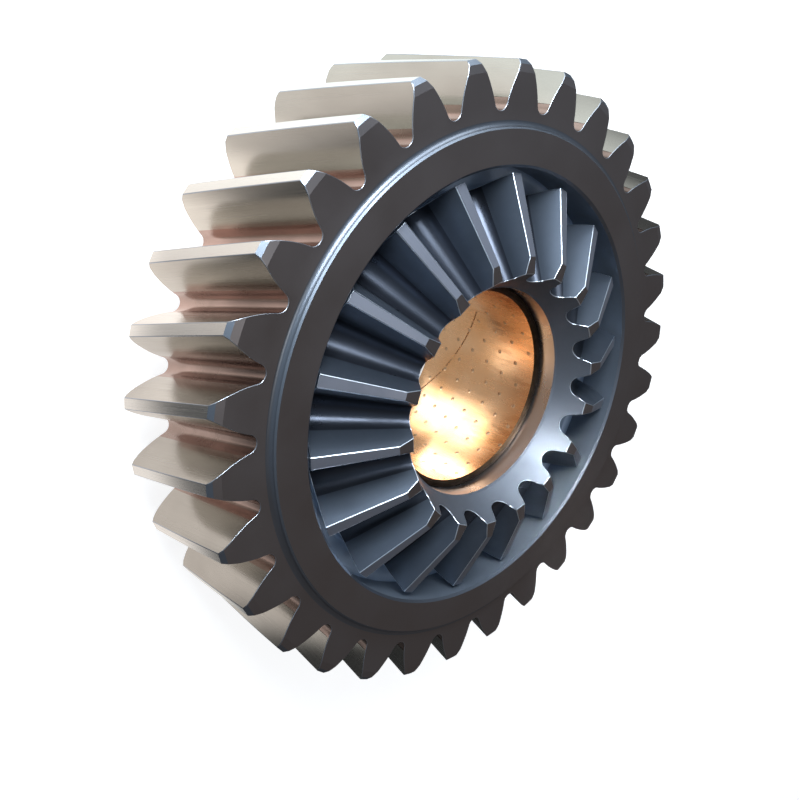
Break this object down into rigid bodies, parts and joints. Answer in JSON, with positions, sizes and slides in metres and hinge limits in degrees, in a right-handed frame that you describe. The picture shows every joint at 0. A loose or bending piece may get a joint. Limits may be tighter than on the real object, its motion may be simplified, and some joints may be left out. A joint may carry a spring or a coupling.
{
  "type": "differential side gear",
  "caption": "Helical spur gear with a recessed straight bevel side gear in its front face and a pressed bronze bush, as used in an inter-axle differential.",
  "frame": {"origin": "on the gear's axis, in the plane of the hub's end face that it stands on", "axes": "+Z along the axis, from the rear hub towards the bevel teeth; +X through the middle of one bevel tooth"},
  "size_m": [0.2038, 0.2038, 0.0729],
  "materials": {
    "gear_steel": "ground flanks, dark heat-treated turned faces, satin bevel teeth",
    "bush_bronze": "bored bronze with small oil pockets"
  },
  "bodies": {
    "root": {"gear_body": "gear_steel", "bronze_bush": "bush_bronze"}
  },
  "joints": []
}
